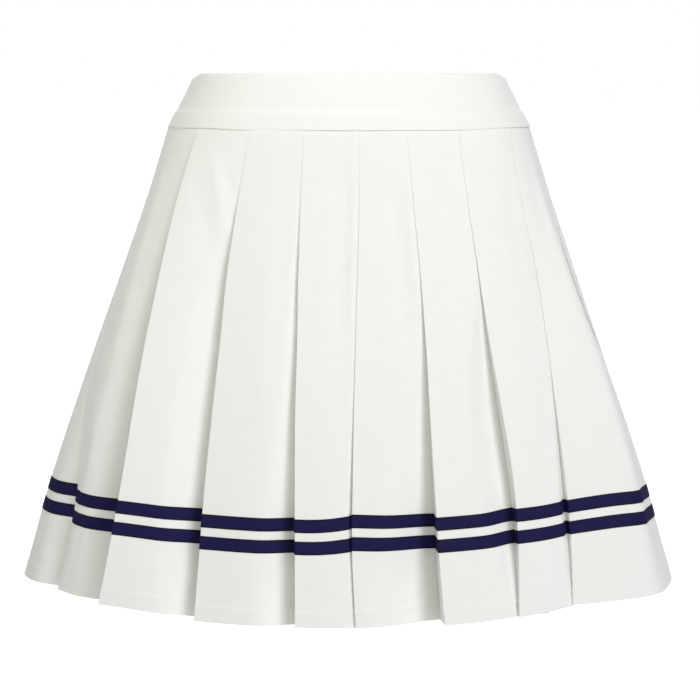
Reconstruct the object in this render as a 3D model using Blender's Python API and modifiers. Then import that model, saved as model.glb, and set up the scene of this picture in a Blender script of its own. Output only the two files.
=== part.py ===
"""Golf skort: a knife-pleated skirt with two woven tapes, a shaped waistband and plain inner shorts.

Metres, +Z up. The front faces -Y and the wearer's left is +X. The origin is the centre of the
waistband's top edge, where the wearer's waist holds the garment, and all of it hangs below z = 0.

A station is an angle in degrees round the garment: 0 at the centre front, growing towards +X.
A level is a distance along the cloth: 0 at the waist seam and SKIRT_LENGTH at the hem. Every
pleat has the same length of cloth, so the hem rises where the skirt flares most.
"""

import math
from typing import NamedTuple

import bpy
from mathutils import Vector

# Cloth
CLOTH_WALL = 0.0010
BAND_WALL = 0.0024
TAPE_WALL = 0.0005
SEAM_GAP = 0.0003

# Waistband
BAND_HEIGHT = 0.044
BAND_STEPS = 24

# Skirt: the walls' ends lean, so at a seam their middles are further apart than the gap
WAIST_SEAM_DROP = 0.0010
SEAM_END_GAP = 3 * SEAM_GAP
SKIRT_LENGTH = 0.382
WAIST_OVERLAP = 0.032
FRONT_PLEATS = 9
FACE_PITCH = CLOTH_WALL + SEAM_GAP
TURN_PITCH_WAIST = CLOTH_WALL + 3 * SEAM_GAP
TURN_PITCH_HEM = TURN_PITCH_WAIST + 2 * (SEAM_GAP + TAPE_WALL)
FOLD_ROUND = 0.0015
MIDDLE = 0.45
TUCK_FULL_AT = 0.75
PANEL_STEPS = (0.25, 0.52, 0.80)

# Tapes
TAPE_WIDTH = 0.0097
TAPE_SPACING = 0.0070
TAPE_TOP_ABOVE_HEM = 0.0830

# Shorts
SHORTS_TOP = -0.032
SHORTS_POINTS = 24
SHORTS_RINGS = 4
CROTCH_Z = -0.262
LEG_HEM_Z = -0.332
LEG_CENTRE_X = 0.0835
LEG_HALF_WIDTH = 0.0775
LEG_HALF_DEPTH = 0.0890
SHORTS_HIP_EASE = 0.018
SHORTS_RISE_CURVE = 4.0


class BandRing(NamedTuple):
    """A horizontal section of the waistband."""

    z: float
    half_width: float
    half_depth: float


class SkirtRing(NamedTuple):
    """The skirt's outer form at one level: the more pointed, the sharper it turns at the sides."""

    level: float
    half_width: float
    half_depth: float
    pointed: float


class Pleat(NamedTuple):
    """A fold edge of the knife pleats, which all turn the same way round.

    waist, middle, hem: the edge's stations at the waist, at MIDDLE of the way down and at the hem.
    hem_overlap: how far the cloth runs on under the edge at the hem, less than zero where the
        pleat has swung open. It leaves about 0.11 m of cloth in each pleat.
    tape_tuck, hem_tuck: how far the cloth beside the edge falls in, at the tapes and at the hem.
    stand_out: how far the edge stands out at the hem.
    """

    waist: float
    middle: float
    hem: float
    hem_overlap: float
    tape_tuck: float
    hem_tuck: float
    stand_out: float


BAND_RINGS = (
    BandRing(0.000, 0.1240, 0.0900),
    BandRing(-0.016, 0.1308, 0.0938),
    BandRing(-0.031, 0.1380, 0.0975),
    BandRing(-BAND_HEIGHT, 0.1445, 0.1010),
)

SKIRT_RINGS = (
    SkirtRing(0.00 * SKIRT_LENGTH, 0.1445, 0.1010, 1.00),
    SkirtRing(0.12 * SKIRT_LENGTH, 0.1580, 0.1050, 1.02),
    SkirtRing(0.30 * SKIRT_LENGTH, 0.1800, 0.1130, 1.08),
    SkirtRing(0.55 * SKIRT_LENGTH, 0.2110, 0.1270, 1.16),
    SkirtRing(0.78 * SKIRT_LENGTH, 0.2385, 0.1390, 1.24),
    SkirtRing(1.00 * SKIRT_LENGTH, 0.2615, 0.1490, 1.30),
)

# In order round the garment, from the side seam on the wearer's right.
PLEATS = (
    Pleat(-102.0, -100.0, -98.0, 0.020, 0.007, 0.009, 0.004),
    Pleat(-79.0, -65.5, -63.0, 0.014, 0.008, 0.009, 0.003),
    Pleat(-56.0, -52.5, -47.5, -0.016, 0.009, 0.010, 0.004),
    Pleat(-32.5, -30.5, -27.5, 0.012, 0.009, 0.012, 0.003),
    Pleat(-14.0, -11.5, -9.5, 0.016, 0.007, 0.010, 0.003),
    Pleat(3.0, 1.5, 0.5, 0.030, 0.005, 0.004, 0.002),
    Pleat(18.0, 17.5, 16.0, 0.020, 0.009, 0.013, 0.003),
    Pleat(36.0, 32.5, 30.5, 0.025, 0.011, 0.005, 0.002),
    Pleat(60.0, 52.0, 43.0, 0.028, 0.009, 0.005, 0.002),
    Pleat(82.0, 77.0, 76.0, -0.024, 0.006, 0.006, 0.011),
    Pleat(105.0, 103.0, 102.0, 0.022, 0.009, 0.010, 0.004),
    Pleat(128.0, 127.5, 128.0, 0.016, 0.008, 0.011, 0.003),
    Pleat(148.5, 147.0, 146.5, 0.018, 0.009, 0.009, 0.003),
    Pleat(165.0, 165.5, 165.0, 0.014, 0.007, 0.012, 0.002),
    Pleat(182.5, 181.0, 180.0, 0.022, 0.008, 0.007, 0.003),
    Pleat(199.0, 198.5, 197.5, 0.018, 0.010, 0.012, 0.003),
    Pleat(218.0, 216.0, 213.0, 0.024, 0.008, 0.008, 0.002),
    Pleat(238.0, 237.5, 235.0, 0.012, 0.009, 0.011, 0.003),
)


def clear_scene():
    """Removes every object, so that only the garment is in the file."""
    for item in list(bpy.data.objects):
        bpy.data.objects.remove(item, do_unlink=True)


def cloth_material(name, colour, roughness):
    """A plain woven finish in linear colour."""
    material = bpy.data.materials.new(name)
    material.use_nodes = True
    shader = material.node_tree.nodes["Principled BSDF"]
    shader.inputs["Base Color"].default_value = (*colour, 1.0)
    shader.inputs["Roughness"].default_value = roughness
    shader.inputs["Metallic"].default_value = 0.0
    return material


def between(rows, place):
    """The row's values at a place between its rows, whose first column grows or shrinks."""
    for low, high in zip(rows, rows[1:]):
        share = (place - low[0]) / (high[0] - low[0])
        if share <= 1.0:
            break
    return tuple(a + (b - a) * share for a, b in zip(low, high))


def oval(station, half_width, half_depth, pointed=1.0):
    """The point of an oval at a station, seen from above."""
    angle = math.radians(station)
    along_y = math.cos(angle)
    depth = math.copysign(abs(along_y) ** pointed, along_y)
    return Vector((half_width * math.sin(angle), -half_depth * depth, 0.0))


def outward(station, half_width, half_depth, pointed=1.0):
    """The oval's horizontal normal at a station, taken across a few degrees."""
    reach = 3.0
    before = oval(station - reach, half_width, half_depth, pointed)
    after = oval(station + reach, half_width, half_depth, pointed)
    run = after - before
    return Vector((run.y, -run.x, 0.0)).normalized()


class Section:
    """The skirt's outer form at one level, with the length of its outline measured off."""

    STEP = 0.5

    def __init__(self, level):
        self.level = level
        self.share = level / SKIRT_LENGTH
        self.shape = between(SKIRT_RINGS, level)[1:]

    def height(self, station):
        """z at a station: the cloth's length along the pleat is kept as the skirt flares."""
        z = -BAND_HEIGHT - WAIST_SEAM_DROP
        rings = [ring for ring in SKIRT_RINGS if ring.level < self.level]
        rings.append((self.level, *self.shape))
        for upper, lower in zip(rings, rings[1:]):
            spread = (oval(station, *lower[1:]) - oval(station, *upper[1:])).length
            z -= math.sqrt((lower[0] - upper[0]) ** 2 - spread**2)
        return z

    def point(self, station, outwards=0.0):
        """A point of the cloth at a station, moved outwards from the outer form."""
        place = oval(station, *self.shape) + outwards * outward(station, *self.shape)
        place.z = self.height(station)
        return place

    def station_from(self, start, length):
        """The station that lies a length further along the outline, or back if it is negative."""
        stride = math.copysign(self.STEP, length)
        station = start
        left = abs(length)
        while left > 0.0:
            here = oval(station, *self.shape)
            step = (oval(station + stride, *self.shape) - here).length
            station += stride * min(1.0, left / step)
            left -= step
        return station


def fold_station(pleat, share):
    """The station of a fold edge at a share of the way down."""
    rows = ((0.0, pleat.waist), (MIDDLE, pleat.middle), (1.0, pleat.hem))
    return between(rows, share)[1]


def tuck(pleat, share):
    """How far the cloth under a fold edge falls in at a share of the way down."""
    if share <= TUCK_FULL_AT:
        return pleat.tape_tuck * (share / TUCK_FULL_AT) ** 1.5
    return between(((TUCK_FULL_AT, pleat.tape_tuck), (1.0, pleat.hem_tuck)), share)[1]


def turn_pitch(share):
    """The distance between the two layers at an inner fold."""
    wider = min(1.0, share / TUCK_FULL_AT)
    return TURN_PITCH_WAIST + (TURN_PITCH_HEM - TURN_PITCH_WAIST) * wider


def fold_at(section, index):
    """A pleat's fold at a level as five (station, distance outwards) pairs, in order along the
    cloth: beside the edge, the inner fold's two corners and the outer edge's two corners."""
    turns, row = divmod(index, len(PLEATS))
    pleat = PLEATS[row]
    share = section.share
    edge = fold_station(pleat, share) + 360.0 * turns
    overlap = WAIST_OVERLAP + (pleat.hem_overlap - WAIST_OVERLAP) * share
    inner = section.station_from(edge, overlap)
    stand_out = pleat.stand_out * share**1.5
    if overlap > FOLD_ROUND:
        turn = turn_pitch(share)
        under = FACE_PITCH + turn + tuck(pleat, share)
        return (
            (edge, -under),
            (inner, -under),
            (inner, turn - under),
            (edge, stand_out - FACE_PITCH),
            (edge, stand_out),
        )
    deep = FACE_PITCH + tuck(pleat, share)
    return (
        (section.station_from(inner, -3 * FOLD_ROUND), -0.8 * deep),
        (section.station_from(inner, -FOLD_ROUND / 2), -deep),
        (section.station_from(inner, FOLD_ROUND / 2), -deep),
        (section.station_from(edge, -FOLD_ROUND), stand_out - FACE_PITCH),
        (edge, stand_out),
    )


def panel_between(fold, ahead):
    """The pairs across the flat of a panel, from its own edge to the fold ahead."""
    (start, stand_out), (end, _) = fold[-1], ahead[-1]
    return [(start + (end - start) * share, stand_out * (1.0 - share)) for share in PANEL_STEPS]


def skirt_line(level, first, count):
    """A skirt piece's points at a level. It starts and ends in the middle of an inner fold."""
    section = Section(level)
    folds = [fold_at(section, index) for index in range(first, first + count + 1)]
    pairs = []
    for fold, ahead in zip(folds, folds[1:]):
        pairs.extend(fold[2:])
        pairs.extend(panel_between(fold, ahead))
        pairs.extend(ahead[:2])
    line = [section.point(*pair) for pair in pairs]
    for fold, end, side in ((folds[0], 0, 1.0), (folds[-1], len(line), -1.0)):
        corners = [section.point(*pair) for pair in fold[1:3]]
        across = (corners[1] - corners[0]).normalized()
        middle = (corners[0] + corners[1]) / 2
        line.insert(end if side > 0 else len(line), middle + across * side * SEAM_END_GAP / 2)
    return line


def moved_out(lines, distance):
    """The same rows of points a distance off the cloth's face, mitred where the cloth turns."""
    moved = []
    for row, line in enumerate(lines):
        above = lines[max(row - 1, 0)]
        below = lines[min(row + 1, len(lines) - 1)]
        shifted = []
        for i, place in enumerate(line):
            down = below[i] - above[i]
            sides = []
            for a, b in ((i - 1, i), (i, i + 1)):
                if a >= 0 and b < len(line):
                    sides.append((line[b] - line[a]).cross(down).normalized() * -1.0)
            face = sum(sides, Vector()).normalized()
            shifted.append(place + face * (distance / max(0.5, face.dot(sides[0]))))
        moved.append(shifted)
    return moved


def sheet_object(name, lines, wall, material, closed=False):
    """A cloth wall made from rows of points that run to the right, the first row on top."""
    width = len(lines[0])
    points = [place for line in lines for place in line]
    faces = []
    for row in range(len(lines) - 1):
        for i in range(width if closed else width - 1):
            here = row * width + i
            beside = row * width + (i + 1) % width
            faces.append((here, here + width, beside + width, beside))
    mesh = bpy.data.meshes.new(name)
    mesh.from_pydata(points, [], faces)
    mesh.materials.append(material)
    piece = bpy.data.objects.new(name, mesh)
    shell = piece.modifiers.new("wall", "SOLIDIFY")
    shell.thickness = wall
    shell.offset = 0.0
    shell.use_even_offset = True
    return piece


def skirt_half(name, first, material):
    """One half of the pleated skirt, with its levels at the rings and at the tapes' edges."""
    levels = sorted([ring.level for ring in SKIRT_RINGS] + tape_levels())
    lines = [skirt_line(level, first, FRONT_PLEATS) for level in levels]
    return sheet_object(name, lines, CLOTH_WALL, material)


def tape_levels():
    """The levels of both tapes' edges, from the upper tape's top down."""
    top = SKIRT_LENGTH - TAPE_TOP_ABOVE_HEM
    lower = top + TAPE_WIDTH + TAPE_SPACING
    return [top, top + TAPE_WIDTH, lower, lower + TAPE_WIDTH]


def tape_half(name, edges, first, material):
    """A tape sewn on one half of the skirt: the cloth's own points, moved out."""
    lines = [skirt_line(level, first, FRONT_PLEATS) for level in edges]
    off = CLOTH_WALL / 2 + SEAM_GAP + TAPE_WALL / 2
    on_face = [line[1:-1] for line in moved_out(lines, off)]
    return sheet_object(name, on_face, TAPE_WALL, material)


def band_half(name, start, material):
    """One half of the waistband, from side seam to side seam."""
    inwards = (BAND_WALL - CLOTH_WALL) / 2
    lines = []
    for ring in BAND_RINGS:
        shape = (ring.half_width, ring.half_depth)
        line = []
        for step in range(BAND_STEPS + 1):
            station = start + 180.0 * step / BAND_STEPS
            place = oval(station, *shape) - inwards * outward(station, *shape)
            place.z = ring.z
            line.append(place)
        for end in (line[0], line[-1]):
            end.y = math.copysign(SEAM_GAP, line[BAND_STEPS // 2].y)
        lines.append(line)
    return sheet_object(name, lines, BAND_WALL, material)


def shorts_loops(side):
    """The rows of one leg's cloth, from the waist and the centre seam down to the leg's hem."""
    inwards = BAND_WALL + 2 * SEAM_GAP
    waist = tuple(size - inwards for size in between(BAND_RINGS, SHORTS_TOP)[1:])
    half = SHORTS_POINTS // 2
    threads = []
    for i in range(SHORTS_POINTS):
        share = (i % half) / half
        leg = oval(360.0 * i / SHORTS_POINTS, LEG_HALF_WIDTH, LEG_HALF_DEPTH)
        leg.x += LEG_CENTRE_X
        leg.z = LEG_HEM_Z
        if i < half:
            top = oval(180.0 * share, *waist)
            top.z = SHORTS_TOP
            ease = SHORTS_HIP_EASE * math.sin(math.pi * share)
            blend = 0.5
        else:
            rise = math.cos(math.pi * share)
            top = Vector((0.0, waist[1] * rise, 0.0))
            top.z = CROTCH_Z + (SHORTS_TOP - CROTCH_Z) * abs(rise) ** SHORTS_RISE_CURVE
            ease = 0.0
            blend = 1.0 - 0.5 * rise**2
        top.x = max(top.x, (SEAM_GAP + CLOTH_WALL) / 2)
        middle = top.lerp(leg, blend)
        middle.z = (top.z + leg.z) / 2
        middle.x += ease
        threads.append((top, middle, leg))
    rows = []
    for ring in range(SHORTS_RINGS + 1):
        t = ring / SHORTS_RINGS
        row = []
        for a, b, c in threads:
            place = a * (1 - t) ** 2 + b * (2 * t * (1 - t)) + c * t**2
            row.append(Vector((place.x * side, place.y, place.z)))
        rows.append(row if side > 0 else row[::-1])
    return rows


def shorts_leg(name, side, material):
    """One leg of the inner shorts: a tube below, and half of the seat and front above."""
    return sheet_object(name, shorts_loops(side), CLOTH_WALL, material, closed=True)


def build():
    """Makes the garment's pieces in a collection of their own."""
    clear_scene()
    twill = cloth_material("white_polyester_twill", (0.86, 0.87, 0.82), 0.75)
    knit = cloth_material("white_stretch_knit", (0.84, 0.85, 0.81), 0.80)
    ribbon = cloth_material("navy_woven_tape", (0.014, 0.011, 0.070), 0.55)
    upper = tape_levels()[:2]
    lower = tape_levels()[2:]
    back = FRONT_PLEATS
    pieces = [
        band_half("waistband_front", -90, twill),
        band_half("waistband_back", 90, twill),
        skirt_half("skirt_front", 0, twill),
        skirt_half("skirt_back", back, twill),
        tape_half("tape_upper_front", upper, 0, ribbon),
        tape_half("tape_upper_back", upper, back, ribbon),
        tape_half("tape_lower_front", lower, 0, ribbon),
        tape_half("tape_lower_back", lower, back, ribbon),
        shorts_leg("shorts_left_leg", 1.0, knit),
        shorts_leg("shorts_right_leg", -1.0, knit),
    ]
    garment = bpy.data.collections.new("golf_skort")
    bpy.context.scene.collection.children.link(garment)
    for piece in pieces:
        garment.objects.link(piece)


build()
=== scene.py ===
"""Golf skort: pleated off-white twill with two navy tapes, a shaped waistband and knit shorts.

Metres, +Z up. The front faces -Y and the wearer's left is +X. A station is an angle in degrees
round the garment, 0 at the centre front and growing towards +X. A level is a distance down the
cloth from the waist seam, and a share is a level divided by the skirt's length.
"""

import logging
import math
from collections.abc import Sequence
from dataclasses import dataclass, field
from enum import Enum
from typing import Any

import bpy
import numpy as np
from mathutils import Matrix, Vector


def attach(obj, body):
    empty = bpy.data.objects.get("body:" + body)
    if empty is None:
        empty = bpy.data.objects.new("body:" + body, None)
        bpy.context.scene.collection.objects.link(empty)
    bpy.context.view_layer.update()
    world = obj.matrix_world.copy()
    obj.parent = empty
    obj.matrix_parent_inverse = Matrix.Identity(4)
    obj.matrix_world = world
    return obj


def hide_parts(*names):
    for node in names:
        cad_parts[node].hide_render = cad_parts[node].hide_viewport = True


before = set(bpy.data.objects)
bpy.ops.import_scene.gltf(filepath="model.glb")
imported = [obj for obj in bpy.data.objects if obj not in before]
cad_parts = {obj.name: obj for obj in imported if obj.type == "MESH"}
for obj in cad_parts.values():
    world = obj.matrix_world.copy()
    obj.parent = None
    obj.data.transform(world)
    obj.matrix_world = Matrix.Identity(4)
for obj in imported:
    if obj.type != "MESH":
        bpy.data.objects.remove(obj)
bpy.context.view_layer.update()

MM = 0.001
Array = np.ndarray
log = logging.getLogger("golf_skort")


# --------------------------------------------------------------------------- small tools


def ease(x: Array) -> Array:
    """A soft step from 0 to 1 as x goes from 0 to 1."""
    t = np.clip(x, 0.0, 1.0)
    return t * t * (3.0 - 2.0 * t)


def mix(a: Array, b: Array, t: Array) -> Array:
    """A straight run from a to b as t goes from 0 to 1."""
    return a * (1 - t) + b * t


def cubic(a: Array, b: Array, slope_a: Array, slope_b: Array, t: Array) -> Array:
    """A smooth run from a to b as t goes from 0 to 1, with its slope at each end."""
    ends = a * (1 + 2 * t) * (1 - t) ** 2 + slope_a * t * (1 - t) ** 2
    return ends + b * t**2 * (3 - 2 * t) + slope_b * t**2 * (t - 1)


def smooth_through(values: Sequence[float], share: Array) -> Array:
    """A smooth curve through values that are evenly spaced from share 0 to share 1.

    Args:
        values: two or more values.
        share: where the curve is wanted.

    Returns:
        One value for each share.
    """
    table = np.asarray(values, float)
    last = len(table) - 1
    slopes = np.gradient(table)
    place = np.clip(share, 0.0, 1.0) * last
    low = np.clip(np.floor(place).astype(int), 0, last - 1)
    return cubic(table[low], table[low + 1], slopes[low], slopes[low + 1], place - low)


def bend(start: Array, leave: Array, arrive: Array, end: Array, t: float) -> Array:
    """The point at t on a soft bend that leaves start towards leave and reaches end from arrive."""
    u = 1.0 - t
    return start * u**3 + leave * 3 * u * u * t + arrive * 3 * u * t * t + end * t**3


def points(*axes: Any) -> Array:
    """Points from their coordinates, which are spread to one shape."""
    return np.stack(np.broadcast_arrays(*axes), axis=-1)


def unit(vectors: Array) -> Array:
    """The vectors along the last axis, each made one long."""
    return vectors / np.maximum(np.linalg.norm(vectors, axis=-1, keepdims=True), 1e-12)


def run_length(places: Array) -> Array:
    """How far along its line each place lies."""
    return np.concatenate([[0.0], np.cumsum(np.linalg.norm(np.diff(places, axis=0), axis=1))])


def row_at(levels: Array, level: float) -> tuple[int, float]:
    """Finds where a level falls among the rows.

    Args:
        levels: the rows' levels.
        level: the one to find.

    Returns:
        The last row above it, and the share of the way from that row to the next.
    """
    place = float(np.interp(level, levels, np.arange(len(levels))))
    low = min(int(place), len(levels) - 2)
    return low, place - low


def linear(hex_colour: str) -> tuple[float, float, float, float]:
    """Turns a colour linear.

    Args:
        hex_colour: an sRGB colour such as #FFFFFF.

    Returns:
        Linear red, green and blue, and an alpha of 1.
    """
    values = [int(hex_colour[i : i + 2], 16) / 255.0 for i in (1, 3, 5)]
    lin = [v / 12.92 if v <= 0.04045 else ((v + 0.055) / 1.055) ** 2.4 for v in values]
    return lin[0], lin[1], lin[2], 1.0


def add_object(name: str, data: Any) -> Any:
    """Puts a mesh, light or camera in the scene.

    Args:
        name: the object's name.
        data: the mesh, light or camera.

    Returns:
        The object, at the origin.
    """
    thing = bpy.data.objects.new(name, data)
    bpy.context.scene.collection.objects.link(thing)
    return thing


def add_node(tree: Any, kind: str, inputs: dict[Any, Any] | None = None, **settings: Any) -> Any:
    """Adds a node with its values, links and settings.

    Args:
        tree: the node tree.
        kind: the node's type name.
        inputs: for each input, by name or number, a value or the output socket that feeds it.
        settings: the node's own properties.

    Returns:
        The new node.
    """
    node = tree.nodes.new(kind)
    for name, value in settings.items():
        setattr(node, name, value)
    for name, value in (inputs or {}).items():
        if isinstance(value, bpy.types.NodeSocket):
            tree.links.new(value, node.inputs[name])
        else:
            node.inputs[name].default_value = value
    return node


# --------------------------------------------------------------------------- finishes


class Slot(Enum):
    """The record's material slots."""

    TWILL = "white_twill"
    KNIT = "white_knit"
    TAPE = "navy_tape"


def new_material(name: str) -> tuple[Any, Any]:
    """Makes an empty node material.

    Args:
        name: its name.

    Returns:
        The material and its tree.
    """
    material = bpy.data.materials.new(name)
    material.use_nodes = True
    material.node_tree.nodes.clear()
    return material, material.node_tree


def wave_scale(spacing: float) -> float:
    """The Scale that puts a wave texture's bands a spacing in metres apart."""
    return math.pi / (10.0 * spacing)


def set_stops(node: Any, stops: Sequence[tuple[float, tuple[float, ...]]]) -> None:
    """Sets a colour ramp's stops.

    Args:
        node: the ramp's node.
        stops: each stop's place from 0 to 1 and its linear colour, in order.
    """
    elements = node.color_ramp.elements
    while len(elements) < len(stops):
        elements.new(0.5)
    for element, (place, colour) in zip(elements, stops):
        element.position = place
        element.color = colour


def seen_as(tree: Any, lit: Any, seen: Any) -> Any:
    """A shader that the eye sees as one thing and the light meets as another."""
    ray = add_node(tree, "ShaderNodeLightPath").outputs["Is Camera Ray"]
    return add_node(tree, "ShaderNodeMixShader", {0: ray, 1: lit, 2: seen}).outputs["Shader"]


@dataclass(frozen=True)
class ClothFinish:
    """A cloth's finish: a pattern gives its colour and bump, and the rest is the same all over."""

    name: str = "cloth"
    roughness: float = 0.8
    ior: float = 1.5
    sheen: float = 0.0
    sheen_roughness: float = 0.4
    bump: float = 0.3
    relief: float = 0.05 * MM

    COORDINATES = "UV"

    def pattern(self, tree: Any, place: Any) -> tuple[Any, Any]:
        """The sockets that give the colour, and the bump's height from 0 to 1."""
        raise NotImplementedError

    def material(self) -> Any:
        """Builds the material, with its pattern laid on the cloth in metres.

        Returns:
            The material.
        """
        material, tree = new_material(self.name)
        place = add_node(tree, "ShaderNodeTexCoord").outputs[self.COORDINATES]
        colour, height = self.pattern(tree, place)
        relief = {"Strength": self.bump, "Distance": self.relief, "Height": height}
        surface = {
            "Base Color": colour,
            "Roughness": self.roughness,
            "IOR": self.ior,
            "Sheen Weight": self.sheen,
            "Sheen Roughness": self.sheen_roughness,
            "Normal": add_node(tree, "ShaderNodeBump", relief).outputs["Normal"],
        }
        shader = add_node(tree, "ShaderNodeBsdfPrincipled", surface).outputs["BSDF"]
        add_node(tree, "ShaderNodeOutputMaterial", {"Surface": shader})
        return material


@dataclass(frozen=True)
class StretchTwill(ClothFinish):
    """Off-white polyester twill with a little elastane: woven, matt, with a fine diagonal line.

    The diagonal is 0.45 mm apart, too fine to show at arm's length, so it is left at its real size
    as a faint bump. The eye gets a smooth matt surface with a hardly seen cloudiness.
    """

    name: str = "stretch_twill_woven"
    light: str = "#E8E8E5"
    shade: str = "#E4E4E0"
    rib: float = 0.45 * MM
    slant: float = 27.0
    slub: float = 14.0 * MM
    roughness: float = 0.78
    sheen: float = 0.12
    sheen_roughness: float = 0.45
    bump: float = 0.35

    def pattern(self, tree: Any, place: Any) -> tuple[Any, Any]:
        """Slanting ribs under a faint cloudiness.

        Args:
            tree: the material's tree.
            place: the socket that gives the place on the cloth.

        Returns:
            The sockets of the colour and the bump's height.
        """
        turn = {"Vector": place, "Rotation": (0.0, 0.0, math.radians(self.slant))}
        slanted = add_node(tree, "ShaderNodeMapping", turn).outputs["Vector"]
        wave = {"Vector": slanted, "Scale": wave_scale(self.rib), "Distortion": 0.6, "Detail": 1.0}
        ribs = add_node(tree, "ShaderNodeTexWave", wave, wave_type="BANDS", bands_direction="X")
        cloud = {"Vector": place, "Scale": 1.0 / self.slub, "Detail": 3.0}
        share = add_node(tree, "ShaderNodeTexNoise", cloud).outputs["Fac"]
        colours = {"Factor": share, 6: linear(self.light), 7: linear(self.shade)}
        mixed = add_node(tree, "ShaderNodeMix", colours, data_type="RGBA")
        return mixed.outputs[2], ribs.outputs["Fac"]


@dataclass(frozen=True)
class StretchKnit(ClothFinish):
    """Off-white stretch jersey: knitted, matt, with fine upright ribs about 0.9 mm apart.

    The eye gets a soft surface with faint upright lines, whose hollows carry painted shade.
    """

    name: str = "stretch_jersey_knitted"
    # light and shade are painted light and shade across each rib, its top and its hollow
    light: str = "#F0F0EA"
    shade: str = "#E9E9E2"
    rib: float = 0.9 * MM
    roughness: float = 0.85
    sheen: float = 0.15
    sheen_roughness: float = 0.5
    bump: float = 0.4
    relief: float = 0.08 * MM

    def pattern(self, tree: Any, place: Any) -> tuple[Any, Any]:
        """Upright ribs, with painted shade darkening their hollows.

        Args:
            tree: the material's tree.
            place: the socket that gives the place on the cloth.

        Returns:
            The sockets of the colour and the bump's height.
        """
        wave = {"Vector": place, "Scale": wave_scale(self.rib), "Distortion": 1.2, "Detail": 2.0}
        ribs = add_node(tree, "ShaderNodeTexWave", wave, wave_type="BANDS", bands_direction="X")
        share = ribs.outputs["Fac"]
        # painted shade: the shade colour lies in the ribs' hollows and the light one on their tops
        colours = {"Factor": share, 6: linear(self.shade), 7: linear(self.light)}
        return add_node(tree, "ShaderNodeMix", colours, data_type="RGBA").outputs[2], share


@dataclass(frozen=True)
class WovenTape(ClothFinish):
    """Navy polyester ribbon: woven with dense dark selvedges and a grain that catches the light.

    Its grain is 0.35 mm, drawn at 0.8 mm so that it shows. The eye gets a low silky gloss with
    small paler flecks, which are painted glints where the grain catches the light, between two
    near-black edges.
    """

    name: str = "polyester_ribbon_woven"
    navy: str = "#171537"
    # the paler colour of the painted glints
    glint_colour: str = "#29265A"
    selvedge: str = "#07060F"
    grain: float = 0.8 * MM
    slant: float = 40.0
    edge_share: float = 0.085
    roughness: float = 0.65
    ior: float = 1.15
    bump: float = 0.6
    relief: float = 0.12 * MM

    ACROSS = "across_tape"
    GLINT_STOPS = (0.42, 0.72)

    def pattern(self, tree: Any, place: Any) -> tuple[Any, Any]:
        """Painted glints as paler flecks on a slant, between selvedges set by the place across the
        tape.

        Args:
            tree: the material's tree.
            place: the socket that gives the place on the cloth.

        Returns:
            The sockets of the colour and the bump's height.
        """
        turn = {"Vector": place, "Rotation": (0.0, 0.0, math.radians(self.slant))}
        slanted = add_node(tree, "ShaderNodeMapping", turn).outputs["Vector"]
        grain = {"Vector": slanted, "Scale": 1.0 / self.grain, "Detail": 2.0, "Roughness": 0.7}
        height = add_node(tree, "ShaderNodeTexNoise", grain).outputs["Fac"]
        # painted glints: the noise turns the navy paler in small flecks where the grain would catch
        # the light
        painted_glints = add_node(tree, "ShaderNodeValToRGB", {"Fac": height})
        set_stops(painted_glints, list(zip(self.GLINT_STOPS, map(linear, (self.navy, self.glint_colour)))))
        across = add_node(tree, "ShaderNodeAttribute", attribute_name=self.ACROSS)
        edges = add_node(tree, "ShaderNodeValToRGB", {"Fac": across.outputs["Fac"]})
        white, black = linear("#FFFFFF"), linear("#000000")
        edge, inside = self.edge_share, self.edge_share * 1.5
        set_stops(
            edges, [(edge, white), (inside, black), (1.0 - inside, black), (1.0 - edge, white)]
        )
        colours = {
            "Factor": edges.outputs["Color"],
            6: painted_glints.outputs["Color"],
            7: linear(self.selvedge),
        }
        return add_node(tree, "ShaderNodeMix", colours, data_type="RGBA").outputs[2], height


@dataclass(frozen=True)
class SewingThread(ClothFinish):
    """Spun polyester sewing thread: twisted, softly glossy, in the colour of what it sews.

    The eye gets small rounded beads with painted shade, a little darker between their strands.
    """

    colour: str = "#FFFFFF"
    twist: float = 0.5 * MM
    strand_shade_share: float = 0.9
    roughness: float = 0.55
    sheen: float = 0.2

    COORDINATES = "Object"

    def pattern(self, tree: Any, place: Any) -> tuple[Any, Any]:
        """The twist, with painted shade a little darker between its strands.

        Args:
            tree: the material's tree.
            place: the socket that gives the place on the cloth.

        Returns:
            The sockets of the colour and the bump's height.
        """
        strands = {"Vector": place, "Scale": 1.0 / self.twist, "Detail": 1.0}
        twist = add_node(tree, "ShaderNodeTexNoise", strands).outputs["Fac"]
        # painted shade: the twist's noise darkens the thread as if between its strands
        red, green, blue = (value * self.strand_shade_share for value in linear(self.colour)[:3])
        colours = {"Factor": twist, 6: linear(self.colour), 7: (red, green, blue, 1.0)}
        return add_node(tree, "ShaderNodeMix", colours, data_type="RGBA").outputs[2], twist


@dataclass(frozen=True)
class StudioBoard:
    """Matt white studio board: painted, lit from behind so that the eye sees it near white."""

    colour: str = "#F7F7F5"
    glow: float = 0.5
    roughness: float = 0.9

    def material(self) -> Any:
        """Builds the floor's material, whose glow is seen but lights nothing.

        Returns:
            The material.
        """
        material, tree = new_material("studio_board_painted")
        paint = {"Base Color": linear(self.colour), "Roughness": self.roughness}
        board = add_node(tree, "ShaderNodeBsdfPrincipled", paint).outputs["BSDF"]
        light = {"Color": linear("#FFFFFF"), "Strength": self.glow}
        glow = add_node(tree, "ShaderNodeEmission", light).outputs["Emission"]
        lit = add_node(tree, "ShaderNodeAddShader", {0: board, 1: glow}).outputs["Shader"]
        add_node(tree, "ShaderNodeOutputMaterial", {"Surface": seen_as(tree, board, lit)})
        return material


# --------------------------------------------------------------------------- cloth shells


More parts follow.
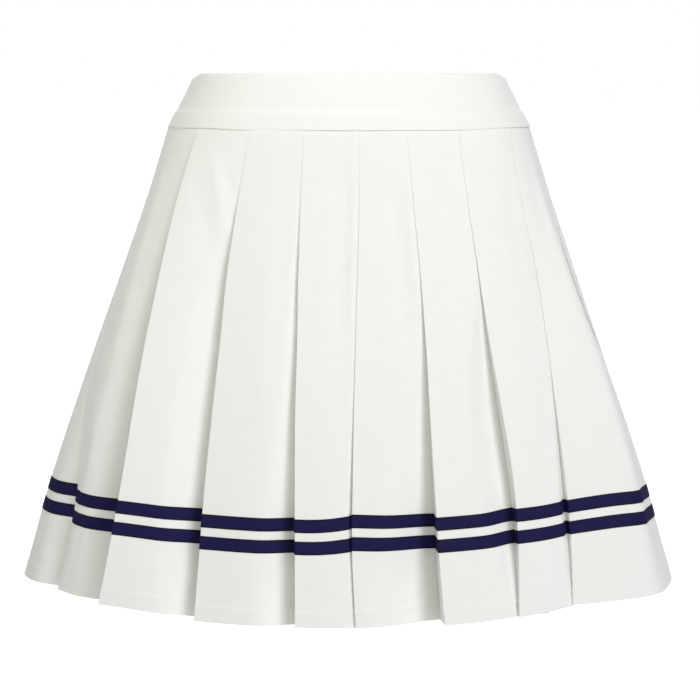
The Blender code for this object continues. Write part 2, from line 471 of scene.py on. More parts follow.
def face_normals_to_points(places: Array, wraps: bool) -> Array:
    """Unit normals at the points of a grid, from the unit normals of the faces round each.

    Args:
        places: rows by columns by 3, rows running down and columns to the right.
        wraps: whether the last column meets the first.

    Returns:
        The normals, in the shape of places, outwards.
    """
    grid = np.concatenate([places, places[:, :1]], axis=1) if wraps else places
    down = grid[1:, :-1] - grid[:-1, 1:]
    across = grid[1:, 1:] - grid[:-1, :-1]
    flat = unit(np.cross(down, across))
    total = np.zeros_like(places)
    columns = np.arange(flat.shape[1])
    for row_step in (0, 1):
        for column_step in (0, 1):
            target = (columns + column_step) % places.shape[1]
            rows = slice(row_step, row_step + flat.shape[0])
            np.add.at(total, (rows, target), flat)
    return unit(total)


def quads(index: Array) -> Array:
    """The four-cornered faces of a grid of point numbers, facing outwards."""
    corners = (index[:-1, :-1], index[1:, :-1], index[1:, 1:], index[:-1, 1:])
    return points(*corners).reshape(-1, 4)


def cloth_mesh(
    name: str, places: Array, faces: list[list[int]], uv: Array, material: Any, crisp: float
) -> Any:
    """A mesh with a UV map, smooth except where it turns sharply.

    Args:
        name: the mesh's name.
        places: its points.
        faces: the numbers of each face's points.
        uv: each point's place on the flat cloth, in metres.
        material: its material.
        crisp: the angle in degrees from which an edge stays sharp.

    Returns:
        The mesh.
    """
    mesh = bpy.data.meshes.new(name)
    mesh.from_pydata(places.reshape(-1, 3).tolist(), [], faces)
    corners = np.empty(len(mesh.loops), np.int32)
    mesh.loops.foreach_get("vertex_index", corners)
    layer = mesh.uv_layers.new(name="cloth")
    layer.data.foreach_set("uv", uv.reshape(-1, 2)[corners].astype(np.float32).ravel())
    mesh.materials.append(material)
    mesh.polygons.foreach_set("use_smooth", [True] * len(mesh.polygons))
    mesh.set_sharp_from_angle(angle=math.radians(crisp))
    mesh.update()
    return mesh


@dataclass
class Shell:
    """A thin sheet of cloth made from a grid of points on its outer face.

    outer: rows by columns by 3, rows running down and columns to the right seen from outside.
    wall: the cloth's thickness in metres, one value a row.
    uv: rows by columns by 2, in metres along the cloth.
    wraps: whether the last column meets the first.
    """

    outer: Array
    wall: Array
    uv: Array
    wraps: bool = False

    CRISP = 65.0

    @property
    def normals(self) -> Array:
        """The outward direction at each point."""
        return face_normals_to_points(self.outer, self.wraps)

    def line_at(self, low: int, t: float) -> tuple[Array, Array]:
        """Finds a line of points between two rows.

        Args:
            low: the upper row.
            t: the share of the way to the next.

        Returns:
            The points, and the outward direction at each.
        """
        normals = self.normals
        line = mix(self.outer[low], self.outer[low + 1], t)
        return line, unit(mix(normals[low], normals[low + 1], t))

    def mesh(self, name: str, material: Any) -> Any:
        """Builds the shell as a closed mesh with a UV map.

        Args:
            name: the mesh's name.
            material: its material.

        Returns:
            The mesh.
        """
        rows, columns = self.outer.shape[:2]
        count = rows * columns
        inner = self.outer - self.normals * self.wall.reshape(-1, 1, 1)
        index = np.arange(count).reshape(rows, columns)
        ring = np.concatenate([index, index[:, :1]], axis=1) if self.wraps else index
        outside = quads(ring)
        rims = [ring[0, ::-1], ring[-1]]
        if not self.wraps:
            rims += [ring[:, 0], ring[::-1, -1]]
        faces = [outside, outside[:, ::-1] + count]
        for rim in rims:
            faces.append(points(rim[:-1], rim[:-1] + count, rim[1:] + count, rim[1:]))
        every = np.concatenate(faces).tolist()
        uv = np.stack([self.uv, self.uv])
        return cloth_mesh(name, np.stack([self.outer, inner]), every, uv, material, self.CRISP)


def hand_over(piece: Any, slot: Slot, *nodes: str) -> None:
    """Puts a finished piece on the garment's one body, in place of its CAD nodes.

    Args:
        piece: the finished object.
        slot: the record's material slot that it shows; it is not used.
        nodes: the CAD nodes that it stands for.
    """
    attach(piece, "root")
    if nodes:
        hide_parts(*nodes)
    log.info("%s: %d faces", piece.name, len(piece.data.polygons))


# --------------------------------------------------------------------------- stitches


@dataclass(frozen=True)
class StitchRun:
    """Machine stitches along paths on the cloth.

    spacing: from stitch to stitch. length: of one stitch. thread: its thickness.
    """

    spacing: float = 2.6 * MM
    length: float = 1.9 * MM
    thread: float = 0.30 * MM

    def tree(self, material: Any) -> tuple[Any, dict[str, str]]:
        """The Geometry Nodes tree that lays stitches along a path of edges.

        Args:
            material: the thread's material.

        Returns:
            The tree, and each named input's socket identifier.
        """
        tree = bpy.data.node_groups.new("stitches", "GeometryNodeTree")
        names = {}
        kinds = {"Geometry": "NodeSocketGeometry"}
        for name in ("Geometry", "Spacing", "Length", "Thread"):
            kind = kinds.get(name, "NodeSocketFloat")
            socket = tree.interface.new_socket(name, in_out="INPUT", socket_type=kind)
            names[name] = socket.identifier
        tree.interface.new_socket("Geometry", in_out="OUTPUT", socket_type=kinds["Geometry"])
        given = add_node(tree, "NodeGroupInput").outputs
        path = add_node(tree, "GeometryNodeMeshToCurve", {"Mesh": given["Geometry"]})
        spaced = {"Curve": path.outputs["Curve"], "Length": given["Spacing"]}
        evenly = add_node(tree, "GeometryNodeResampleCurve", spaced, mode="LENGTH")
        outwards = add_node(
            tree, "GeometryNodeInputNamedAttribute", {"Name": "outwards"}, data_type="FLOAT_VECTOR"
        )
        facing = {
            "Primary Axis": add_node(tree, "GeometryNodeInputTangent").outputs["Tangent"],
            "Secondary Axis": outwards.outputs["Attribute"],
        }
        turned = add_node(
            tree, "FunctionNodeAxesToRotation", facing, primary_axis="X", secondary_axis="Z"
        )
        ball = {"Segments": 6, "Rings": 4, "Radius": 0.5}
        bead = add_node(tree, "GeometryNodeMeshUVSphere", ball)
        sizes = {"X": given["Length"], "Y": given["Thread"], "Z": given["Thread"]}
        size = add_node(tree, "ShaderNodeCombineXYZ", sizes)
        shaped = {"Geometry": bead.outputs["Mesh"], "Scale": size.outputs["Vector"]}
        stitch = add_node(tree, "GeometryNodeTransform", shaped)
        places = {
            "Points": evenly.outputs["Curve"],
            "Instance": stitch.outputs["Geometry"],
            "Rotation": turned.outputs["Rotation"],
        }
        laid = add_node(tree, "GeometryNodeInstanceOnPoints", places).outputs["Instances"]
        real = add_node(tree, "GeometryNodeRealizeInstances", {"Geometry": laid})
        dressed = {"Geometry": real.outputs["Geometry"], "Material": material}
        finished = add_node(tree, "GeometryNodeSetMaterial", dressed).outputs["Geometry"]
        add_node(tree, "NodeGroupOutput", {"Geometry": finished})
        return tree, names

    def sew(self, name: str, paths: Sequence[tuple[Array, Array]], material: Any) -> Any:
        """Stitches along each path, as one plain mesh object.

        Args:
            name: the object's name.
            paths: for each path its points and the outward direction at each.
            material: the thread's material.

        Returns:
            The object.
        """
        places = np.concatenate([line for line, _ in paths])
        outwards = np.concatenate([directions for _, directions in paths])
        edges: list[tuple[int, int]] = []
        first = 0
        for line, _ in paths:
            edges.extend((first + i, first + i + 1) for i in range(len(line) - 1))
            first += len(line)
        route = bpy.data.meshes.new(name + "_route")
        route.from_pydata(places.tolist(), edges, [])
        layer = route.attributes.new("outwards", "FLOAT_VECTOR", "POINT")
        layer.data.foreach_set("vector", outwards.astype(np.float32).ravel())
        guide = add_object(name + "_route", route)
        modifier = guide.modifiers.new("stitches", "NODES")
        modifier.node_group, names = self.tree(material)
        modifier[names["Spacing"]] = self.spacing
        modifier[names["Length"]] = self.length
        modifier[names["Thread"]] = self.thread
        bpy.context.view_layer.update()
        graph = bpy.context.evaluated_depsgraph_get()
        mesh = bpy.data.meshes.new_from_object(guide.evaluated_get(graph))
        mesh.name = name
        mesh.polygons.foreach_set("use_smooth", [True] * len(mesh.polygons))
        guide.modifiers.clear()
        bpy.data.objects.remove(guide, do_unlink=True)
        return add_object(name, mesh)


# --------------------------------------------------------------------------- skirt


@dataclass(frozen=True)
class Pleat:
    """A knife pleat: its fold edge and the cloth that runs in under it from the wearer's right.

    Each table is evenly spaced from the waist seam to the hem, and lengths are in mm.

    edge: stations of the fold edge. overlap: how far the cloth runs on under the edge; below zero
    the pleat hangs open. fall: how far the cloth beside the edge falls in. roll: over what width it
    does so. flush: 1 where the edge lies pressed level with the cloth beside it. stand_out: how
    far the face stands out along its crown. crown: the crown's stations, or none for the edge
    itself. flat: how far the cloth past the crown is drawn in at its middle. at_tapes, at_hem: how
    much higher the face hangs there than the form, at its edge, its middle and its end.
    """

    edge: tuple[float, ...]
    overlap: tuple[float, ...]
    fall: tuple[float, ...]
    roll: tuple[float, ...]
    flush: tuple[float, ...] = (0.4, 0.0)
    stand_out: tuple[float, ...] = (0.0, 0.4, 1.1, 2.0, 3.0)
    crown: tuple[float, ...] = ()
    flat: tuple[float, ...] = (0.0, 0.0)
    at_tapes: tuple[float, float, float] = (3.0, 3.0, 3.0)
    at_hem: tuple[float, float, float] = (3.0, 3.0, 3.0)


FRONT_PLEATS = (
    Pleat(
        edge=(-84, -83, -82, -80, -75.8, -66.6, -62.5, -61.7),
        overlap=(26, 18, 12),
        fall=(0, 0, 0, 0, 0, 0, 0.3, 2, 6, 9, 10),
        roll=(3, 3, 3, 3, 6, 10, 16, 24, 30, 34, 34),
        flush=(1, 1, 1, 1, 1, 1, 0.8, 0.2, 0, 0, 0),
        stand_out=(0, 3.4, 5.6, 6.4, 6, 3, 0.6),
        crown=(-72, -68.6, -65.6, -62.2, -60.4, -60.2, -59.8),
        at_tapes=(4, 2.6, 1.6),
        at_hem=(6, 5, 3.4),
    ),
    Pleat(
        edge=(-55, -53.7, -51.2, -49, -47, -45.3, -44.5, -44.5),
        overlap=(32, 28, 22, 18, 16),
        fall=(0, 2, 5, 7.6, 10, 12, 13, 13, 13, 12, 12),
        roll=(2, 9, 19, 28, 36, 42, 45, 46, 46, 46, 46),
        flush=(0.5, 0),
        stand_out=(0, 6, 10.5, 14, 16.5, 18, 19, 20, 20),
        at_tapes=(6.2, 5, 2.2),
        at_hem=(7.4, 5.7, 1.5),
    ),
    Pleat(
        edge=(-32.5, -32.3, -31.8, -30.4, -29.4, -28.5, -27.6, -26.9),
        overlap=(32, 22, 16),
        fall=(0, 0.3, 2.6, 7.2, 10.2, 11.6, 12.4, 13, 13.4, 13.6, 13.6),
        roll=(1.5, 2, 10, 18, 24, 27, 29, 31, 32, 32, 32),
        flush=(1, 0.4, *[0] * 9),
        at_tapes=(0.6, 0.6, 0.2),
        at_hem=(1.5, 1.3, 1.2),
    ),
    Pleat(
        edge=(-14, -13.4, -12.6, -11.7, -11.1, -10.3, -9.6, -9),
        overlap=(32, 24, 18),
        fall=(0, 0.3, 1, 2.8, 3.8, 5.4, 7.4, 9.4, 11.4, 12.8, 13.4),
        roll=(1, 1.6, 6, 10, 12, 16, 20, 25, 30, 34, 34),
        at_tapes=(0.8, 1.2, 4),
        at_hem=(1.6, 1.6, 1.6),
    ),
    Pleat(
        edge=(3, 2.8, 2.1, 1.5, 1, 0.7, 0.55, 1.1),
        overlap=(32, 31, 30),
        fall=(0, 0, 0, 0, 0, 0, 0.5, 1.8, 2.2, 1, 0.3),
        roll=(1.2, 1.2, 1.2, 1.2, 1.2, 1.4, 3, 5, 6, 3, 1.4),
        flush=(0.6, 0.5, 0.2),
        stand_out=(0, 0.3, 0.8, 1.4, 2),
        at_tapes=(5, 3.7, 2),
        at_hem=(1.8, 1.6, 2),
    ),
    Pleat(
        edge=(18, 18, 17.9, 17.5, 16.9, 16.4, 16.1, 16.2),
        overlap=(32, 26, 20),
        fall=(0, 0, 0, 0.3, 2.2, 5.4, 8.4, 11.4, 15.4, 20.5, 22.5),
        roll=(1, 1, 1, 2, 10, 20, 30, 37, 46, 60, 66),
        flush=(1, 0.5, 0.5, 0.3, *[0] * 7),
        at_tapes=(1, 1.6, 2.2),
        at_hem=(1.6, 2.2, 3),
    ),
    Pleat(
        edge=(36, 34.9, 34.1, 33.5, 33.35, 33.1, 31.8, 30),
        overlap=(32, 28, 25),
        fall=(0, 0.1, 0, 0.6, 3.4, 7.2, 10.4, 11.4, 9.6, 5.6, 0.5),
        roll=(1, 1.2, 1.2, 2.4, 13, 26, 36, 37, 31, 19, 3),
        flush=(1, 0.7, 0.4, 0.2, *[0] * 7),
        stand_out=(0, 0.3, 0.8, 1.4, 2),
        at_tapes=(2.9, 3.1, 4.2),
        at_hem=(2.8, 3.8, 5.3),
    ),
    Pleat(
        edge=(61.5, 57.3, 55.1, 51.8, 48.8, 46.5, 44.4, 41.8),
        overlap=(32, 30, 28),
        fall=(0, 0, 0, 0.1, 0.1, 0.2, 1.5, 3.8, 5.2, 3.4, 0.4),
        roll=(0.8, 0.8, 0.8, 0.8, 0.9, 1, 3.6, 6.6, 8.6, 6.4, 1.4),
        flush=(1, 0.7, 0.5, 0.5, 0.4, 0.3, *[0] * 5),
        stand_out=(0, 5, 14, 20, 22),
        crown=(72, 68.6, 65.2, 63, 61.6, 61.4),
        flat=(0, 0.6, 1.6, 2.2, 2, 1.6),
        at_tapes=(4, 5.2, -2),
        at_hem=(5.7, 4.9, 7),
    ),
    Pleat(
        edge=(81, 79.5, 80, 84, 90.5, 94, 96, 98),
        overlap=(28, 23, 18),
        fall=(0, 0, 0.6, 1.6, 1.6, 0.8, 1, 1.6, 2.6, 4, 5),
        roll=(2, 3, 8, 20, 45, 70, 90, 110, 125, 135, 140),
        flush=(1, 1, 0.5, *[0] * 8),
        stand_out=(0, 0, -0.6, -1.4, -1.2, -1, -1.8, -3.2, -4.2),
        at_tapes=(2.4, 2.4, 3),
        at_hem=(4, 4, 4),
    ),
)


@dataclass(frozen=True)
class BackPleat:
    """A pleat of the back, which hang alike; lengths are in mm.

    edge: the fold edge's station at the waist seam, midway and at the hem. overlap, fall and
    stand_out: what Pleat says of them, at the hem. lift: how much higher the hem hangs.
    """

    edge: tuple[float, float, float]
    overlap: float
    fall: float
    lift: float
    stand_out: float = 3.0

    GROWTH = (0.0, 0.12, 0.25, 0.42, 0.6, 0.8, 1.0)
    WAIST_OVERLAP = 32.0
    WAIST_ROLL = 1.2
    ROLL_OF_FALL = 2.0

    def pleat(self) -> Pleat:
        """Fills in the pleat's tables.

        Returns:
            The pleat.
        """
        face = (self.lift + 0.4, self.lift, self.lift + 0.3)
        grown = [self.fall * share for share in self.GROWTH]
        return Pleat(
            edge=self.edge,
            overlap=(self.WAIST_OVERLAP, (self.WAIST_OVERLAP + self.overlap) / 2, self.overlap),
            fall=tuple(grown),
            roll=tuple(self.WAIST_ROLL + self.ROLL_OF_FALL * fall for fall in grown),
            flush=(0.6, 0.1, 0.0, 0.0),
            stand_out=tuple(self.stand_out * share for share in self.GROWTH),
            at_tapes=face,
            at_hem=face,
        )


BACK_PLEATS = (
    BackPleat((105, 108.5, 114), 18, 5, 4),
    BackPleat((128, 128.5, 131), 16, 6, 3),
    BackPleat((148.5, 147, 146.5), 18, 4, 2.2),
    BackPleat((165, 165.5, 165), 14, 6.5, 1.6),
    BackPleat((182.5, 181, 180), 22, 3, 1.2),
    BackPleat((199, 198.5, 197.5), 18, 6, 1.4),
    BackPleat((218, 216, 213), 24, 4, 2),
    BackPleat((238, 237.5, 235), 12, 6.5, 3.6),
    BackPleat((258, 260, 262), 20, 4.5, 6, 0),
)
PLEATS = FRONT_PLEATS + tuple(back.pleat() for back in BACK_PLEATS)


@dataclass(frozen=True)
class Crease:
    """A soft ridge or trough across one panel, placed one by one.

    panel: which pleat's panel. start, end: the share across the panel and the share down the
    skirt. width: half the width in mm over which it fades. height: mm outwards, less than zero in
    a trough.
    """

    panel: int
    start: tuple[float, float]
    end: tuple[float, float]
    width: float
    height: float

    FADE = 0.25

    def height_at(self, across: Array, down: Array, width: Array) -> Array:
        """How far it moves the cloth outwards, in metres.

        Args:
            across: the share across the panel.
            down: the share down the skirt.
            width: the panel's width at each row.

        Returns:
            The distances, in the shape of across.
        """
        (a0, d0), (a1, d1) = self.start, self.end
        t = np.clip((down - d0) / (d1 - d0), -2 * self.FADE, 1.0 + 2 * self.FADE)
        ends = ease((t + self.FADE) / (2 * self.FADE)) * ease((1 + self.FADE - t) / (2 * self.FADE))
        distance = (across - (a0 + (a1 - a0) * t)) * width / (self.width * MM)
        return self.height * MM * ends * np.exp(-(distance**2))


CREASES = (
    Crease(3, (0.90, 0.03), (0.93, 0.40), 3.5, 0.9),
    Crease(3, (0.72, 0.08), (0.74, 0.42), 6, -0.9),
    Crease(4, (0.90, 0.08), (0.93, 0.42), 3.5, 0.8),
    Crease(4, (0.66, 0.10), (0.74, 0.46), 6, -1.1),
    Crease(1, (0.50, 0.065), (0.92, 0.22), 4.6, 0.9),
    Crease(1, (0.70, 0.075), (0.94, 0.13), 3.4, -0.6),
    Crease(1, (0.26, 0.10), (0.78, 0.27), 7, -0.6),
    Crease(2, (0.55, 0.25), (0.62, 0.60), 9, 0.7),
    Crease(5, (0.70, 0.06), (0.64, 0.34), 7, -0.6),
    Crease(5, (0.40, 0.30), (0.44, 0.70), 10, 0.6),
    Crease(6, (0.78, 0.10), (0.70, 0.30), 6, -0.6),
    Crease(6, (0.40, 0.20), (0.46, 0.62), 9, 0.6),
    Crease(7, (0.45, 0.05), (0.30, 0.30), 6, -0.6),
    Crease(7, (0.62, 0.12), (0.55, 0.50), 8, 0.7),
    Crease(7, (0.49, 0.40), (0.38, 0.98), 11, 2.6),
    Crease(0, (0.30, 0.55), (0.34, 1.00), 8, 0.8),
)


# The skirt's outer form at five levels and the hem: the share down, half its width, half its
# depth, and how pointed it is, which is how sharply it turns at the sides.
FORM_RINGS = (
    (0.00, 0.1445, 0.1010, 1.00),
    (0.12, 0.1580, 0.1050, 1.02),
    (0.30, 0.1800, 0.1130, 1.08),
    (0.55, 0.2110, 0.1270, 1.16),
    (0.78, 0.2385, 0.1390, 1.24),
    (1.00, 0.2615, 0.1490, 1.30),
)


NORMAL_REACH = 3.0


def oval(station: Array, half_width: Array, half_depth: Array, pointed: Array) -> Array:
    """Works out points of an oval, seen from above.

    Args:
        station: where they are wanted.
        half_width, half_depth: the oval's sizes.
        pointed: how sharply it turns at the sides, 1 for an ellipse.

    Returns:
        The points, whose last axis is x and y.
    """
    angle = np.radians(station)
    cosine = np.cos(angle)
    depth = np.sign(cosine) * np.abs(cosine) ** pointed
    return points(half_width * np.sin(angle), -half_depth * depth)


def oval_normals(station: Array, *shape: Array) -> Array:
    """The outward direction on an oval, taken over a few degrees each way to stay smooth."""
    run = oval(station + NORMAL_REACH, *shape) - oval(station - NORMAL_REACH, *shape)
    return unit(points(run[..., 1], -run[..., 0]))


def from_front(station: Array) -> Array:
    """A station between -180 and 180."""
    return np.mod(station + 180.0, 360.0) - 180.0


@dataclass(frozen=True)
class SeamLift:
    """How much higher the waist seam sits at the sides, where the band has been pulled up.

    left, right: by how much, from which station, over how many degrees. back: the station by which
    it has faded behind, over how many degrees.
    """

    left: tuple[float, float, float] = (1.4 * MM, 38.0, 20.0)
    right: tuple[float, float, float] = (1.3 * MM, 32.0, 20.0)
    back: tuple[float, float] = (130.0, 50.0)

    def at(self, station: Array) -> Array:
        """Works out the lift.

        Args:
            station: where it is wanted.

        Returns:
            The lift in metres at each station.
        """
        sides = [(station, self.left), (-station, self.right)]
        lift = sum(most * ease((there - start) / over) for there, (most, start, over) in sides)
        return lift * ease((self.back[0] - np.abs(from_front(station))) / self.back[1])


SEAM_LIFT = SeamLift()


class SkirtForm:
    """The skirt's outer form, measured at each row of the cloth.

    The cloth's length down each pleat is kept, so the hem rises where the skirt flares most.
    """

    LIFTED_DOWN_TO = 0.05

    def __init__(self, levels: Array, length: float, top: float) -> None:
        """Measures the form.

        Args:
            levels: the rows' distances down the cloth, from 0.
            length: the skirt's length.
            top: the height of level 0.
        """
        self.stations = np.arange(-140.0, 520.0, 0.5)
        shares = levels / length
        table = np.array(FORM_RINGS)
        given, values = table[:, 0], table[:, 1:]
        slopes = np.gradient(values, given, axis=0)
        low = np.clip(np.searchsorted(given, shares, side="right") - 1, 0, len(table) - 2)
        span = (given[low + 1] - given[low])[:, None]
        t = (shares - given[low])[:, None] / span
        shape = cubic(values[low], values[low + 1], slopes[low] * span, slopes[low + 1] * span, t)
        columns = [shape[:, i : i + 1] for i in range(3)]
        self.plan = oval(self.stations[None, :], *columns)
        self.out = oval_normals(self.stations[None, :], *columns)
        steps = np.linalg.norm(np.diff(self.plan, axis=1), axis=-1)
        self.arc = np.concatenate([np.zeros((len(levels), 1)), np.cumsum(steps, axis=1)], axis=1)
        spread = np.linalg.norm(np.diff(self.plan, axis=0), axis=-1)
        drops = np.sqrt(np.maximum(np.diff(levels)[:, None] ** 2 - spread**2, 0.0))
        fall = np.concatenate([np.zeros((1, len(self.stations))), np.cumsum(drops, axis=0)])
        self.height = top - (fall - fall[int(np.argmin(np.abs(levels)))])
        lifted = 1.0 - ease(levels / self.LIFTED_DOWN_TO)
        self.height += SEAM_LIFT.at(from_front(self.stations)) * lifted[:, None]

    def arc_at(self, row: int, station: float) -> float:
        """The distance round the form at a station."""
        return float(np.interp(station, self.stations, self.arc[row]))

    def places(self, row: int, arc: Array, outwards: Array, rise: Array) -> Array:
        """Works out points near the form.

        Args:
            row: which row of the cloth.
            arc: the points' distances round the form.
            outwards: how far each is moved outwards.
            rise: how far each is raised.

        Returns:
            The points.
        """
        station = np.interp(arc, self.arc[row], self.stations)
        sides = []
        for axis in (0, 1):
            plan = np.interp(station, self.stations, self.plan[row, :, axis])
            out = np.interp(station, self.stations, self.out[row, :, axis])
            sides.append(plan + out * outwards)
        return points(*sides, np.interp(station, self.stations, self.height[row]) + rise)


@dataclass
class Fold:
    """A pleat's fold, measured at every row: distances round the form and outwards, in metres."""

    edge: Array
    inner: Array
    reach: Array
    shut: Array
    fall: Array
    roll: Array
    stand_out: Array
    crown: Array
    flat: Array
    lifts: Array


@dataclass
class PleatedSkirt:
    """The skirt: two halves of nine knife pleats, with a narrow hem turned up and stitched.

    caught: how far the cloth runs up into the band, where it is drawn in by caught_in.
    pressed_share: the share down by which the cloth is back at its full wall.
    hem_settle: the share of the hem's step that is lost again below it.
    closing: the overlap by which an open pleat has shut; those named open shape an open one.
    turn_at_waist, turn_growth: how high the inner fold stands, and how much more it does below.
    flush_step: over how many mm a flush edge steps down. belly: how far a panel bulges at the hem.
    """

    length: float = 0.382
    top: float = -0.0450
    caught: float = 3.0 * MM
    caught_in: float = 0.6 * MM
    caught_from: float = 1.0 * MM
    caught_over: float = 2.5 * MM
    wall: float = 0.20 * MM
    wall_at_waist: float = 0.08 * MM
    pressed_share: float = 0.35
    layer_gap: float = 0.03 * MM
    hem_turn: float = 12.0 * MM
    hem_wall_share: float = 0.9
    hem_step: float = 0.35 * MM
    hem_step_before: float = 1.0 * MM
    hem_settle: float = 0.55
    hem_settle_over: float = 5.0 * MM
    row_step: float = 3.6 * MM
    fine_row: float = 1.2 * MM
    fold_softness: float = 1.5 * MM
    closing: float = 5.0 * MM
    open_corner: float = 1.2 * MM
    open_lean: float = 0.3 * MM
    open_clear: float = 2.0 * MM
    bulge: float = 0.1 * MM
    foot_inset: float = 1.0 * MM
    foot_of_fall: float = 0.1
    neck: float = 1.5 * MM
    turn_at_waist: float = 0.5 * MM
    turn_growth: float = 2.2 * MM
    turn_grown_by: float = 0.7
    flush_step: float = 0.35
    belly: float = 1.2 * MM
    crown_softness: float = 0.024
    crease_clear: float = 3.0 * MM
    levels: Array = field(init=False)
    form: SkirtForm = field(init=False)

    PANEL_COLUMNS = 24
    LAYER_COLUMNS = 4
    RISER = (0.0, 0.2, 0.45, 0.75)
    TURN = (0.0, 0.2, 0.4, 0.6, 0.8)
    TURN_SEEN = 2
    INNER_FOLD = (0.5, 0.75)
    NEXT_FOLD = (0.0, 0.25, 0.49)
    LIFT_GROWTH = (0.0, 0.12, 0.35, 0.65, 1.0)
    NO_CROWN = 0.001
    LAST_CROWN = 0.9
    # How far a bend's guides stand off for a half round and a quarter round, as a share of its
    # height, and how much of a panel's columns are spread evenly and not towards its edges.
    HALF_ROUND = 2.0 / 3.0
    QUARTER_ROUND = 0.55
    EVENNESS = 0.45

    def __post_init__(self) -> None:
        """Sets out the rows, finer at the waist and the hem, and measures the form at each."""
        hem, fine = self.length - self.hem_turn, self.fine_row
        rows = np.arange(0.0, self.length, self.row_step)
        marks = [-self.caught, 0.0, fine, hem - fine, hem, hem + fine, self.length - fine / 2]
        levels = np.unique(np.round(np.concatenate([rows, marks, [self.length]]), 5))
        self.levels = levels[np.concatenate([[True], np.diff(levels) > fine / 3])]
        self.form = SkirtForm(self.levels, self.length, self.top)

    @property
    def shares(self) -> Array:
        """Each row's share of the way down."""
        return np.clip(self.levels / self.length, 0.0, 1.0)

    @property
    def walls(self) -> Array:
        """The cloth's thickness, pressed thin at the waist and doubled at the hem.

        Returns:
            One value for each row.
        """
        pressed = mix(self.wall_at_waist, self.wall, ease(self.shares / self.pressed_share))
        turned = ease((self.levels - (self.length - self.hem_turn)) / self.fine_row)
        return pressed + turned * self.wall * self.hem_wall_share

    def arc_of(self, stations: Array) -> Array:
        """The distance round the form at a station for each row."""
        return np.array([self.form.arc_at(i, s) for i, s in enumerate(stations)])

    def fold(self, index: int) -> Fold:
        """Measures a pleat's fold at every row.

        Args:
            index: the pleat's number; those after the last go on round the garment.

        Returns:
            The fold.
        """
        turns, which = divmod(index, len(PLEATS))
        pleat = PLEATS[which]

        def down(values: Sequence[float]) -> Array:
            """One of the pleat's tables at every row."""
            return smooth_through(values, self.shares)

        edge = self.arc_of(down(pleat.edge) + 360.0 * turns)
        inner = edge + down(pleat.overlap) * MM
        over = (edge - inner) / self.fold_softness
        flush = np.clip(down(pleat.flush), 0.0, 1.0)
        roll = np.maximum(down(pleat.roll), self.flush_step)
        lifts = [
            down((*[share * tapes for share in self.LIFT_GROWTH], hem))
            for tapes, hem in zip(pleat.at_tapes, pleat.at_hem)
        ]
        return Fold(
            edge=edge,
            inner=inner,
            reach=edge - self.fold_softness * np.logaddexp(0.0, over),
            shut=ease((inner - edge) / self.closing),
            fall=np.maximum(down(pleat.fall), 0.0) * MM,
            roll=mix(roll, self.flush_step, flush) * MM,
            stand_out=down(pleat.stand_out) * MM,
            crown=self.arc_of(down(pleat.crown or pleat.edge) + 360.0 * turns),
            flat=down(pleat.flat) * MM,
            lifts=points(*lifts) * MM,
        )

    def creased(self, panel: int, across: Array, width: Array) -> Array:
        """How far a panel's creases move it outwards.

        Args:
            panel: the pleat's number, from the front pleats' first.
            across: rows by columns, the share across the panel.
            width: the panel's width at each row.

        Returns:
            Rows by columns of distances in metres.
        """
        down = self.shares[:, None] * np.ones_like(across)
        total = np.zeros_like(across)
        for crease in CREASES:
            if crease.panel == panel:
                total += crease.height_at(across, down, width)
        return total * ease((1.0 - across) * width / self.crease_clear)

    def panel_face(self, index: int, here: Fold, ahead: Fold, arc: Array) -> tuple[Array, Array]:
        """The panel's face from its own fold edge to the next pleat's inner fold.

        Args:
            index: the pleat's number.
            here: its fold.
            ahead: the next pleat's fold.
            arc: rows by columns of distances round the form.

        Returns:
            How far the face lies outwards, and how much higher the cloth hangs.
        """
        edge, reach = here.edge[:, None], ahead.reach[:, None]
        width = reach - edge
        across = np.clip((arc - edge) / width, 0.0, 1.0)
        crown = np.clip((here.crown[:, None] - edge) / width, self.NO_CROWN, self.LAST_CROWN)
        rise, fade = across / crown, (1.0 - across) / (1.0 - crown)
        soft = self.crown_softness
        tent = -soft * np.logaddexp(-rise / soft, -fade / soft)
        tent = np.where(crown > 2 * self.NO_CROWN, tent, 1.0 - across)
        out = here.stand_out[:, None] * tent + self.creased(index, across, width)
        past = np.clip(1.0 - fade, 0.0, 1.0)
        out -= here.flat[:, None] * 4.0 * past * (1.0 - past)
        out += self.belly * self.shares[:, None] * np.sin(np.pi * across) ** 2
        roll = ahead.roll[:, None]
        drop = ahead.fall + ahead.shut * (2 * self.walls + 2 * self.layer_gap)
        out -= drop[:, None] * ease((arc - reach + roll) / roll)
        first, middle, last = (here.lifts[:, i : i + 1] for i in range(3))
        lift = first + across * (4 * middle - 3 * first - last)
        lift += across**2 * (2 * first + 2 * last - 4 * middle)
        return out, lift

    def under_face(self, index: int, arc: Array) -> tuple[Array, Array]:
        """A panel's cloth where it runs on under the next one, which it never pokes through.

        Args:
            index: the panel's number.
            arc: rows by columns of distances round the form.

        Returns:
            How far the cloth lies outwards, and how much higher it hangs.
        """
        ahead = self.fold(index + 1)
        out, lift = self.panel_face(index, self.fold(index), ahead, arc)
        above, _ = self.panel_face(index + 1, ahead, self.fold(index + 2), arc)
        layers = 2 * (self.walls + self.layer_gap) * ahead.shut
        return np.minimum(out, above - layers[:, None]), lift

